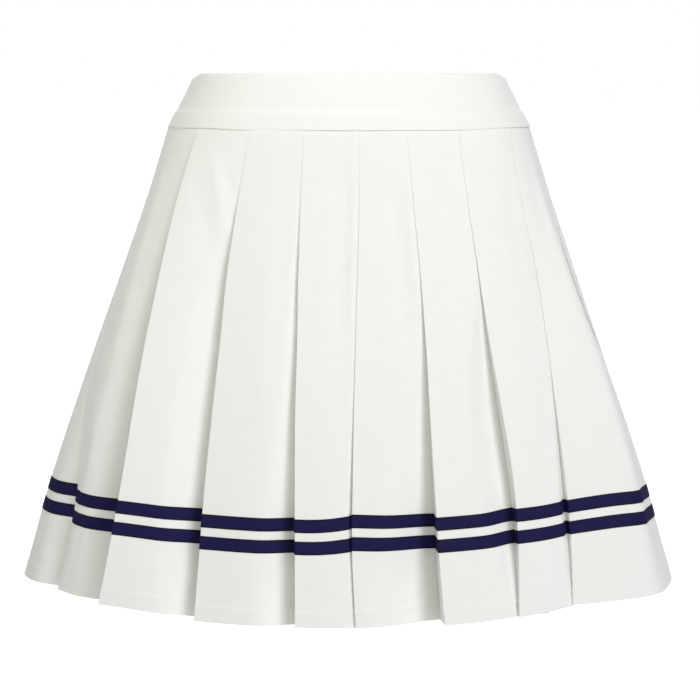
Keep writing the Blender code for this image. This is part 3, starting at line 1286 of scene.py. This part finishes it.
    def inner_fold(self, index: int) -> tuple[list[Array], Array]:
        """Works out a pleat's inner fold at every row.

        Args:
            index: the pleat's number.

        Returns:
            The four guides of its bend, and how much higher the cloth hangs there.
        """
        here = self.fold(index)
        floor, lift = (part[:, 0] for part in self.under_face(index - 1, here.inner[:, None]))
        above, _ = self.panel_face(index, here, self.fold(index + 1), here.inner[:, None])
        room = above[:, 0] - 2 * self.walls - self.layer_gap - floor
        most = self.turn_at_waist + self.turn_growth * ease(self.shares / self.turn_grown_by)
        turn = np.clip(room, self.layer_gap, most)
        low = points(here.inner, floor)
        up = low + points(self.open_lean * (1 - here.shut), turn)
        bulge = points(self.HALF_ROUND * turn * here.shut + self.bulge, 0.0)
        return [low, low + bulge, up + bulge, up], lift

    def pleat_columns(self, index: int) -> tuple[Array, Array, Array]:
        """The cloth from the inner fold of one pleat to that of the next.

        Args:
            index: the pleat's number.

        Returns:
            Rows by columns of distances round, distances outwards and lifts.
        """
        here, ahead = self.fold(index), self.fold(index + 1)
        fold_height = 2 * self.walls + self.layer_gap
        shut, open_ = here.shut[:, None], 1.0 - here.shut[:, None]
        inner, below = self.inner_fold(index)
        up, above = inner[-1], here.lifts[:, 0]
        at_edge, _ = self.panel_face(index, here, ahead, here.edge[:, None])
        corner = points(here.edge, at_edge[:, 0])
        foot_arc = here.edge + self.foot_inset + self.foot_of_fall * here.fall
        floor, _ = self.under_face(index - 1, foot_arc[:, None])
        open_low = corner - unit(corner - up) * self.open_corner
        open_top = corner + points(self.open_corner, 0.0)
        open_foot = (up + open_low) / 2
        foot = mix(open_foot, points(foot_arc, floor[:, 0] + self.layer_gap), shut)
        edge_low = mix(open_low, corner + points(fold_height / 2, -fold_height), shut)
        edge_top = mix(open_top, corner + points(fold_height / 2, 0.0), shut)
        climb = (open_low - open_foot) * open_ / 3
        foot_leave = foot - points(self.foot_inset, 0.0) * shut + climb
        neck = points(0.0, np.minimum(here.fall, self.neck) / 2)
        foot_arrive = edge_low - neck * shut - climb
        away = points(-self.HALF_ROUND * fold_height, 0.0) * shut
        leave = edge_low + away + (corner - open_low) * self.QUARTER_ROUND * open_
        arrive = edge_top + away + (corner - open_top) * self.QUARTER_ROUND * open_
        layer = np.linspace(0.0, 1.0, self.LAYER_COLUMNS, endpoint=False)
        before = [(bend(*inner, t), below) for t in self.INNER_FOLD]
        before += [(mix(up, foot, t), mix(below, above, t / 2)) for t in layer]
        for t in self.RISER:
            place = bend(foot, foot_leave, foot_arrive, edge_low, t)
            before.append((place, mix((below + above) / 2, above, t)))
        before += [(bend(edge_low, leave, arrive, edge_top, t), above) for t in self.TURN]
        start = edge_top[:, :1]
        end = (ahead.reach - self.open_clear * (1 - ahead.shut))[:, None]
        x = np.linspace(0.0, 1.0, self.PANEL_COLUMNS, endpoint=False)[None, :]
        panel = start + (end - start) * mix((1 - np.cos(np.pi * x)) / 2, x, self.EVENNESS)
        under = end + (ahead.inner[:, None] - end) * layer[None, :]
        next_inner, next_lift = self.inner_fold(index + 1)
        after = [(bend(*next_inner, t), next_lift) for t in self.NEXT_FOLD]

        def column(place: Array, lift: Array) -> tuple[Array, Array, Array]:
            """One column's distances round, distances outwards and lifts."""
            return place[:, :1], place[:, 1:], lift[:, None]

        parts = [column(*guide) for guide in before]
        parts.append((panel, *self.panel_face(index, here, ahead, panel)))
        parts.append((under, *self.under_face(index, under)))
        parts += [column(*guide) for guide in after]
        arc, out, lift = (np.concatenate(part, axis=1) for part in zip(*parts))
        return arc, out, lift

    def hem_ridge(self) -> Array:
        """How far the turned-up hem presses the cloth outwards.

        Returns:
            One distance for each row.
        """
        past = self.levels - (self.length - self.hem_turn)
        settle = 1.0 - self.hem_settle * ease(past / self.hem_settle_over)
        return self.hem_step * ease((past + self.hem_step_before) / self.fine_row) * settle

    def half(self, first: int) -> Shell:
        """Builds one half of the skirt.

        Args:
            first: the number of its first pleat.

        Returns:
            The half's shell.
        """
        parts = [self.pleat_columns(index) for index in range(first, first + len(FRONT_PLEATS))]
        arc, out, lift = (np.concatenate(part, axis=1) for part in zip(*parts))
        caught = ease((self.caught_from - self.levels) / self.caught_over) * self.caught_in
        outer = np.stack(
            [
                self.form.places(row, arc[row], out[row] - caught[row], lift[row])
                for row in range(len(self.levels))
            ]
        )
        outer += face_normals_to_points(outer, False) * self.hem_ridge()[:, None, None]
        along = run_length(outer[len(self.levels) // 2])
        return Shell(outer, self.walls, points(along[None, :], -self.levels[:, None]))

    def visible_spans(self) -> list[slice]:
        """Finds the columns that show, from each fold edge to just beside the next.

        Returns:
            The columns of each panel.
        """
        seen = self.TURN_SEEN + self.PANEL_COLUMNS
        start = len(self.INNER_FOLD) + self.LAYER_COLUMNS + len(self.RISER) + len(self.TURN)
        start -= self.TURN_SEEN
        wide = start + seen + self.LAYER_COLUMNS + len(self.NEXT_FOLD)
        return [slice(i * wide + start, i * wide + start + seen) for i in range(len(FRONT_PLEATS))]


@dataclass
class Tape:
    """One of the woven tapes sewn round the skirt above its hem.

    top: the level of its upper edge.
    """

    name: str
    top: float
    width: float = 10.3 * MM
    wall: float = 0.35 * MM
    seat: float = 0.06 * MM
    stitch_inset: float = 0.9 * MM
    stitch_lift: float = 0.02 * MM
    cut: tuple[float, float] = (1.10, 0.010)

    ACROSS = (0.0, 0.10, 0.5, 0.90, 1.0)
    CROWN = (0.6, 1.0, 1.0, 1.0, 0.6)

    def face(self, skirt: PleatedSkirt, cloth: Shell) -> tuple[Array, Array]:
        """Finds the cloth under the tape.

        Args:
            skirt: the skirt.
            cloth: one half's shell.

        Returns:
            Points on the cloth, and the outward direction at each.
        """
        levels = [self.top + self.width * share for share in self.ACROSS]
        lines = [cloth.line_at(*row_at(skirt.levels, level)) for level in levels]
        return np.stack([line for line, _ in lines]), np.stack([out for _, out in lines])

    def half(self, skirt: PleatedSkirt, cloth: Shell, side: str, material: Any) -> Any:
        """The tape on one half of the skirt.

        Args:
            skirt: the skirt.
            cloth: that half's shell.
            side: front or back.
            material: the tape's material.

        Returns:
            The tape's object.
        """
        places, outs = self.face(skirt, cloth)
        crown, across = np.array(self.CROWN), np.array(self.ACROSS)
        outer = places + outs * (self.seat + self.wall * crown[:, None, None])
        outer = outer[:, 1:-1]
        uv = points(cloth.uv[0, 1:-1, 0][None, :], -across[:, None] * self.width)
        name = f"{self.name}_{side}_ribbon"
        mesh = Shell(outer, self.wall * crown, uv).mesh(name, material)
        values = np.tile(np.repeat(across, outer.shape[1]), 2)
        layer = mesh.attributes.new(WovenTape.ACROSS, "FLOAT", "POINT")
        layer.data.foreach_set("value", values.astype(np.float32))
        return add_object(name, mesh)

    def seams(self, skirt: PleatedSkirt, cloth: Shell) -> list[tuple[Array, Array]]:
        """Works out the paths of the stitches along both edges where the tape shows.

        Args:
            skirt: the skirt.
            cloth: one half's shell.

        Returns:
            For each path its points and the outward direction at each.
        """
        places, outs = self.face(skirt, cloth)
        paths = []
        edge, middle = self.ACROSS[1:3]
        t = (self.stitch_inset / self.width - edge) / (middle - edge)
        for low, share in ((1, t), (2, 1 - t)):
            out = mix(outs[low], outs[low + 1], share)
            line = mix(places[low], places[low + 1], share)
            line = line + out * (self.seat + self.wall + self.stitch_lift)
            paths += [(line[span], out[span]) for span in skirt.visible_spans()]
        return paths


# --------------------------------------------------------------------------- waistband


@dataclass
class Waistband:
    """The waistband: doubled twill over elastic, with its seam allowance pressed up inside.

    form: its half width and half depth at each distance down. wave: how far slow waves move its
    face. waves: how many times round each goes, where it starts and its share. hollow_at: a
    hollow's station and width. ends_width: the degrees over which each end is nipped in.
    """

    height: float = 44.0 * MM
    thickness: float = 2.4 * MM
    stand_off: float = 0.25 * MM
    allowance: float = 30.5 * MM
    allowance_step: float = 0.9 * MM
    step_before: float = 2.2 * MM
    step_over: float = 3.0 * MM
    allowance_fall: float = 0.6 * MM
    fall_after: float = 0.8 * MM
    fall_over: float = 12.0 * MM
    puff: float = 0.35 * MM
    side_dip: float = 3.6 * MM
    side_from: float = 0.93
    wave: float = 0.12 * MM
    nip: float = 0.45 * MM
    hollow: float = 0.5 * MM
    hollow_at: tuple[float, float] = (-26.0, 9.0)
    ends_apart: float = 0.35 * MM
    ends_width: float = 0.6
    mean_radius: float = 0.118
    columns: int = 121
    waves: tuple[tuple[float, float, float], ...] = ((5.0, 0.7, 1.0), (11.0, 2.1, 0.7))
    form: tuple[tuple[float, float, float], ...] = (
        (0.0, 0.1240, 0.0900),
        (16.0 * MM, 0.1308, 0.0938),
        (31.0 * MM, 0.1380, 0.0975),
        (44.0 * MM, 0.1445, 0.1010),
    )

    CRISP = 50.0
    # The section's points in mm: how far down those of the outer face run, as from, to and how
    # many; the bottom edge's, down from the height and outwards; and those of the inner face.
    OUTER_STEPS = ((1.2, 28.5, 12), (29.5, 34.5, 9), (36.0, 43.2, 6))
    BOTTOM = ((0.0, 0.0), (0.15, -0.25), (0.2, -0.8))
    INNER_STEPS = (42.5, 38.0, 32.0, 24.0, 16.0, 8.0, 2.0)

    def relief(self, drop: Array) -> Array:
        """How far the outer face stands out.

        Args:
            drop: the distance down from the top edge.

        Returns:
            The distance outwards.
        """
        past = drop - self.allowance
        puff = self.puff * np.sin(np.pi * np.clip(drop / self.allowance, 0.0, 1.0))
        step = self.allowance_step * ease((past + self.step_before) / self.step_over)
        return puff + step - self.allowance_fall * ease((past - self.fall_after) / self.fall_over)

    def profile(self) -> list[tuple[float, float]]:
        """Works out the band's section, down its outer face and up its inner one.

        Returns:
            Each point's distance down from the top edge and distance outwards.
        """
        steps = np.concatenate([np.linspace(*step) for step in self.OUTER_STEPS])
        outer = [(d * MM, float(self.relief(np.array(d * MM)))) for d in steps]
        wall = self.thickness
        bottom = [(self.height + down * MM, out * MM) for down, out in self.BOTTOM]
        bottom.append((self.height - 0.4 * MM, -wall + 0.4 * MM))
        inner = [(d * MM, -wall) for d in self.INNER_STEPS]
        top = [(0.5 * MM, -wall + 0.25 * MM), (0.0, -wall + 1.0 * MM), (0.0, -0.9 * MM)]
        return [*outer, *bottom, *inner, *top, (0.35 * MM, -0.2 * MM)]

    def half(self, name: str, start: float, material: Any) -> Any:
        """One half of the band, from side seam to side seam.

        Args:
            name: its name.
            start: the station of its first end.
            material: its material.

        Returns:
            The object.
        """
        stations = start + 180.0 * np.linspace(0.0, 1.0, self.columns)
        widths = np.array(self.form)
        shares = np.linspace(0.0, 1.0, len(widths))
        angle = np.radians(stations)
        wave = sum(size * np.sin(count * angle + phase) for count, phase, size in self.waves)
        from_end = np.minimum(stations - stations[0], stations[-1] - stations) / self.ends_width
        centre, width = self.hollow_at
        sideways = (np.abs(np.sin(angle)) - self.side_from) / (1.0 - self.side_from)
        moved = self.stand_off + self.wave * wave - self.nip * np.exp(-(from_end**2))
        moved -= self.hollow * np.exp(-(((stations - centre) / width) ** 2))
        towards_front = np.sign(np.cos(math.radians(start + 90.0)))
        gap = (1 - ease(from_end)) * towards_front * self.ends_apart / 2
        rows = []
        for drop, out in self.profile():
            place = np.interp(drop, widths[:, 0], shares)
            shape = [smooth_through(widths[:, i], place) for i in (1, 2)] + [1.0]
            xy = oval(stations, *shape)
            xy = xy + oval_normals(stations, *shape) * (moved + out)[:, None]
            down = drop / self.height
            dip = self.side_dip * ease(sideways) * max(1.0 - down, 0.0)
            z = -drop - dip + SEAM_LIFT.at(stations) * down**2
            rows.append(points(xy[:, 0], xy[:, 1] - gap, z))
        return add_object(name, self.closed_mesh(name, np.stack(rows), stations, material))

    def closed_mesh(self, name: str, rows: Array, stations: Array, material: Any) -> Any:
        """Sweeps the band's section along its stations, closed round and capped at both ends.

        Args:
            name: the mesh's name.
            rows: points of the section by stations by 3.
            stations: the station of each column.
            material: its material.

        Returns:
            The mesh.
        """
        count, columns = rows.shape[:2]
        index = np.arange(count * columns).reshape(count, columns)
        faces = quads(np.concatenate([index, index[:1]], axis=0)).tolist()
        faces += [index[:, 0].tolist()[::-1], index[:, -1].tolist()]
        down = run_length(rows[:, columns // 2])
        uv = points((np.radians(stations) * self.mean_radius)[None, :], -down[:, None])
        return cloth_mesh(name, rows, faces, uv, material, self.CRISP)


# --------------------------------------------------------------------------- shorts


@dataclass
class InnerShorts:
    """The inner shorts: two plain knit legs, joined at the centre seam and hemmed at the legs."""

    top: float = -0.0320
    crotch: float = -0.262
    leg_hem: float = -0.332
    leg_x: float = 0.0835
    leg_half_width: float = 0.0775
    leg_half_depth: float = 0.0890
    hip_ease: float = 0.018
    rise_curve: float = 4.0
    wall: float = 0.6 * MM
    seam_gap: float = 0.9 * MM
    hem_turn: float = 18.0 * MM
    hem_step: float = 0.3 * MM
    hem_step_over: float = 1.5 * MM
    set_in: float = 0.1 * MM
    stitch_in: float = 1.0 * MM
    stitch_lift: float = 0.05 * MM
    ripple: float = 0.5 * MM
    ripples: float = 7.0
    ripple_above: float = 20.0 * MM
    ripple_over: float = 60.0 * MM
    around: int = 96
    column_width: float = 5.5 * MM
    down: int = 64
    waist: tuple[float, float] = (0.1355, 0.0948)

    def leg(self, side: float) -> Shell:
        """Builds one leg with its half of the seat and front.

        Args:
            side: 1 for the wearer's left and -1 for the wearer's right.

        Returns:
            The leg's shell.
        """
        half = self.around // 2
        i = np.arange(self.around)
        share = (i % half) / half
        angle = 2 * np.pi * i / self.around
        leg = points(
            self.leg_half_width * np.sin(angle) + self.leg_x,
            -self.leg_half_depth * np.cos(angle),
            self.leg_hem,
        )
        outer_side = i < half
        waist_x, waist_y = self.waist
        rise, round_hip = np.cos(np.pi * share), np.sin(np.pi * share)
        seam = self.crotch + (self.top - self.crotch) * np.abs(rise) ** self.rise_curve
        top = np.where(
            outer_side[:, None],
            points(waist_x * round_hip, -waist_y * rise, self.top),
            points(0.0, waist_y * rise, seam),
        )
        top[:, 0] = np.maximum(top[:, 0], self.seam_gap / 2)
        legwards = np.where(outer_side, 0.5, 1.0 - 0.5 * rise**2)
        middle = mix(top, leg, legwards[:, None])
        middle[:, 2] = (top[:, 2] + leg[:, 2]) / 2
        middle[:, 0] += np.where(outer_side, self.hip_ease * round_hip, 0.0)
        t = np.linspace(0.0, 1.0, self.down)[:, None, None]
        grid = top * (1 - t) ** 2 + middle * 2 * t * (1 - t) + leg * t**2
        above_hem = grid[..., 2:] - self.leg_hem
        ripple = self.ripple * np.sin(angle * self.ripples)[None, :, None]
        ripple = ripple * ease((above_hem - self.ripple_above) / self.ripple_over)
        turned = self.hem_step * ease((self.hem_turn - above_hem) / self.hem_step_over)
        grid = grid + face_normals_to_points(grid, True) * (ripple + turned - self.set_in)
        grid[..., 0] = np.maximum(grid[..., 0], self.seam_gap / 2)
        if side < 0:
            grid = grid[:, ::-1].copy()
            grid[..., 0] *= -1
        uv = points((i * self.column_width)[None, :], grid[..., 2])
        return Shell(grid, np.full(self.down, self.wall), uv, wraps=True)

    def hem_seam(self, shell: Shell) -> tuple[Array, Array]:
        """Works out the path of the stitches round a leg's hem.

        Args:
            shell: the leg.

        Returns:
            The path's points and the outward direction at each.
        """
        level = self.leg_hem + self.hem_turn - self.stitch_in
        low, t = row_at(-shell.outer[:, 0, 2], -level)
        normals = shell.normals[low]
        return mix(shell.outer[low], shell.outer[low + 1], t) + normals * self.stitch_lift, normals


# --------------------------------------------------------------------------- garment


@dataclass
class Garment:
    """The whole skort: builds its pieces, dresses them and puts them on the garment's one body."""

    tape_top: float = 83.3 * MM
    tape_pitch: float = 17.0 * MM
    twill: StretchTwill = StretchTwill()
    knit: StretchKnit = StretchKnit()
    ribbon: WovenTape = WovenTape()
    white_thread: SewingThread = SewingThread(name="white_thread_spun", colour="#F1F1EA")
    navy_thread: SewingThread = SewingThread(name="navy_thread_spun", colour="#1D1A3C")
    stitches: StitchRun = StitchRun()
    blind_stitches: StitchRun = StitchRun(3.2 * MM, 0.9 * MM, 0.28 * MM)
    stitch_in: float = 1.0 * MM
    stitch_lift: float = 0.02 * MM

    def build(self) -> None:
        """Builds every piece."""
        twill = self.twill.material()
        knit = self.knit.material()
        ribbon = self.ribbon.material()
        white = self.white_thread.material()
        navy = self.navy_thread.material()
        self.build_skirt(twill, ribbon, white, navy)
        self.build_waistband(twill)
        self.build_shorts(knit, white)

    def build_skirt(self, twill: Any, ribbon: Any, white: Any, navy: Any) -> None:
        """Builds the skirt's halves with their tapes and stitches.

        Args:
            twill, ribbon: the materials of the cloth and the tapes.
            white, navy: the materials of the threads.
        """
        skirt = PleatedSkirt()
        upper = skirt.length - self.tape_top
        tapes = (Tape("tape_upper", upper), Tape("tape_lower", upper + self.tape_pitch))
        hem_seam = skirt.length - skirt.hem_turn + self.stitch_in
        row = int(np.argmin(np.abs(skirt.levels - hem_seam)))
        for side, first in (("front", 0), ("back", len(FRONT_PLEATS))):
            cloth = skirt.half(first)
            name = f"skirt_{side}"
            panel = add_object(f"{name}_cloth", cloth.mesh(f"{name}_cloth", twill))
            hand_over(panel, Slot.TWILL, name)
            normals = cloth.normals[row]
            line = cloth.outer[row] + normals * self.stitch_lift
            paths = [(line[span], normals[span]) for span in skirt.visible_spans()]
            hem = self.blind_stitches.sew(f"hem_stitches_{side}", paths, white)
            hand_over(hem, Slot.TWILL)
            for tape in tapes:
                band = tape.half(skirt, cloth, side, ribbon)
                hand_over(band, Slot.TAPE, f"{tape.name}_{side}")
                seams = tape.seams(skirt, cloth)
                sewn = self.stitches.sew(f"{tape.name}_stitches_{side}", seams, navy)
                hand_over(sewn, Slot.TAPE)

    def build_waistband(self, twill: Any) -> None:
        """Builds the waistband's halves."""
        band = Waistband()
        for side, start in (("front", -90.0), ("back", 90.0)):
            piece = band.half(f"waistband_{side}_cloth", start, twill)
            hand_over(piece, Slot.TWILL, f"waistband_{side}")

    def build_shorts(self, knit: Any, white: Any) -> None:
        """Builds the shorts' legs with their hem stitches."""
        shorts = InnerShorts()
        for side, sign in (("left", 1.0), ("right", -1.0)):
            name = f"shorts_{side}_leg"
            shell = shorts.leg(sign)
            leg = add_object(f"{name}_cloth", shell.mesh(f"{name}_cloth", knit))
            hand_over(leg, Slot.KNIT, name)
            sewn = self.stitches.sew(f"{name}_stitches", [shorts.hem_seam(shell)], white)
            hand_over(sewn, Slot.KNIT)


# --------------------------------------------------------------------------- studio


def hang_light(name: str, light: Any, colour: str, toward: Vector) -> Any:
    """Hangs a light.

    Args:
        name: its name.
        light: its data.
        colour: its sRGB hex colour.
        toward: the direction it shines from.

    Returns:
        Its object.
    """
    light.color = linear(colour)[:3]
    lamp = add_object(name, light)
    lamp.rotation_euler = toward.to_track_quat("Z", "Y").to_euler()
    log.info("%s: %.2f", name, light.energy)
    return lamp


@dataclass(frozen=True)
class FarLight:
    """A broad soft light, far away.

    azimuth: where it comes from, from the front towards +X. height: how high. softness: how wide
    it looks. All three are in degrees.
    """

    name: str
    strength: float
    azimuth: float
    height: float
    colour: str = "#FFFFFF"
    softness: float = 30.0

    def hang(self) -> None:
        """Hangs the light."""
        light = bpy.data.lights.new(self.name, "SUN")
        light.energy = self.strength
        light.angle = math.radians(self.softness)
        azimuth, height = math.radians(self.azimuth), math.radians(self.height)
        x, y = math.sin(azimuth) * math.cos(height), -math.cos(azimuth) * math.cos(height)
        hang_light(self.name, light, self.colour, Vector((x, y, math.sin(height))))


@dataclass(frozen=True)
class Softbox:
    """A square softbox near the garment, so that it lights the waist more than the hem."""

    name: str
    power: float
    place: tuple[float, float, float]
    colour: str
    size: float = 0.7
    aim: tuple[float, float, float] = (0.0, 0.0, -0.2)

    def hang(self) -> None:
        """Hangs the softbox, out of the camera's sight."""
        light = bpy.data.lights.new(self.name, "AREA")
        light.energy = self.power
        light.size = self.size
        lamp = hang_light(self.name, light, self.colour, Vector(self.place) - Vector(self.aim))
        lamp.location = self.place
        lamp.visible_camera = False


@dataclass
class Studio:
    """A plain pale floor, soft light from the front right and a camera level with the waist.

    The softboxes are a little warm and the key a little cool, so that folds shade warm.
    """

    floor_height: float = -1.02
    floor_size: float = 600.0
    world_light: float = 0.02
    lights: tuple[FarLight | Softbox, ...] = (
        FarLight("key_light", 2.07, 40.0, 33.0, "#F8FAFF"),
        FarLight("back_light", 1.75, 180.0, 40.0),
        Softbox("front_softbox", 8.2, (0.0, -1.0, 0.9), "#FFFEF2"),
        Softbox("left_softbox", 4.85, (-1.1, -0.3, 0.35), "#FFFEF8"),
    )
    camera_place: tuple[float, float, float] = (0.0008, -2.7, 0.0)
    lens: float = 173.57
    tilt: float = 4.692

    def build(self) -> None:
        """Builds the floor, lights, world and camera."""
        self.floor()
        for light in self.lights:
            light.hang()
        self.world()
        self.camera()
        bpy.context.scene.view_settings.view_transform = "Standard"

    def floor(self) -> None:
        """The floor, far below the garment, which the wearer's waist holds."""
        half = self.floor_size / 2
        corners = [(-half, -half), (half, -half), (half, half), (-half, half)]
        mesh = bpy.data.meshes.new("floor")
        mesh.from_pydata([(x, y, self.floor_height) for x, y in corners], [], [(0, 1, 2, 3)])
        mesh.materials.append(StudioBoard().material())
        board = add_object("floor", mesh)
        log.info("floor: %.1f m square", self.floor_size)

    def world(self) -> None:
        """An even white surround, as in a light tent, that is seen brighter than it lights."""
        world = bpy.data.worlds.new("light_tent")
        world.use_nodes = True
        tree = world.node_tree
        tree.nodes.clear()
        shades = []
        for strength in (self.world_light, 1.0):
            light = {"Color": linear("#FFFFFF"), "Strength": strength}
            shades.append(add_node(tree, "ShaderNodeBackground", light).outputs["Background"])
        add_node(tree, "ShaderNodeOutputWorld", {"Surface": seen_as(tree, *shades)})
        bpy.context.scene.world = world

    def camera(self) -> None:
        """The camera, level with the waistband's top edge and tilted down to the skirt's middle."""
        lens = bpy.data.cameras.new("camera")
        lens.lens = self.lens
        lens.sensor_width = 36.0
        lens.clip_end = 100.0
        camera = add_object("camera", lens)
        turn = Matrix.Rotation(math.radians(90.0 - self.tilt), 4, "X")
        camera.matrix_world = Matrix.Translation(self.camera_place) @ turn
        bpy.context.scene.camera = camera


def main() -> None:
    """Builds the garment and its studio."""
    logging.basicConfig(level=logging.INFO, format="%(name)s %(message)s")
    Studio().build()
    Garment().build()


if __name__ == "__main__":
    main()
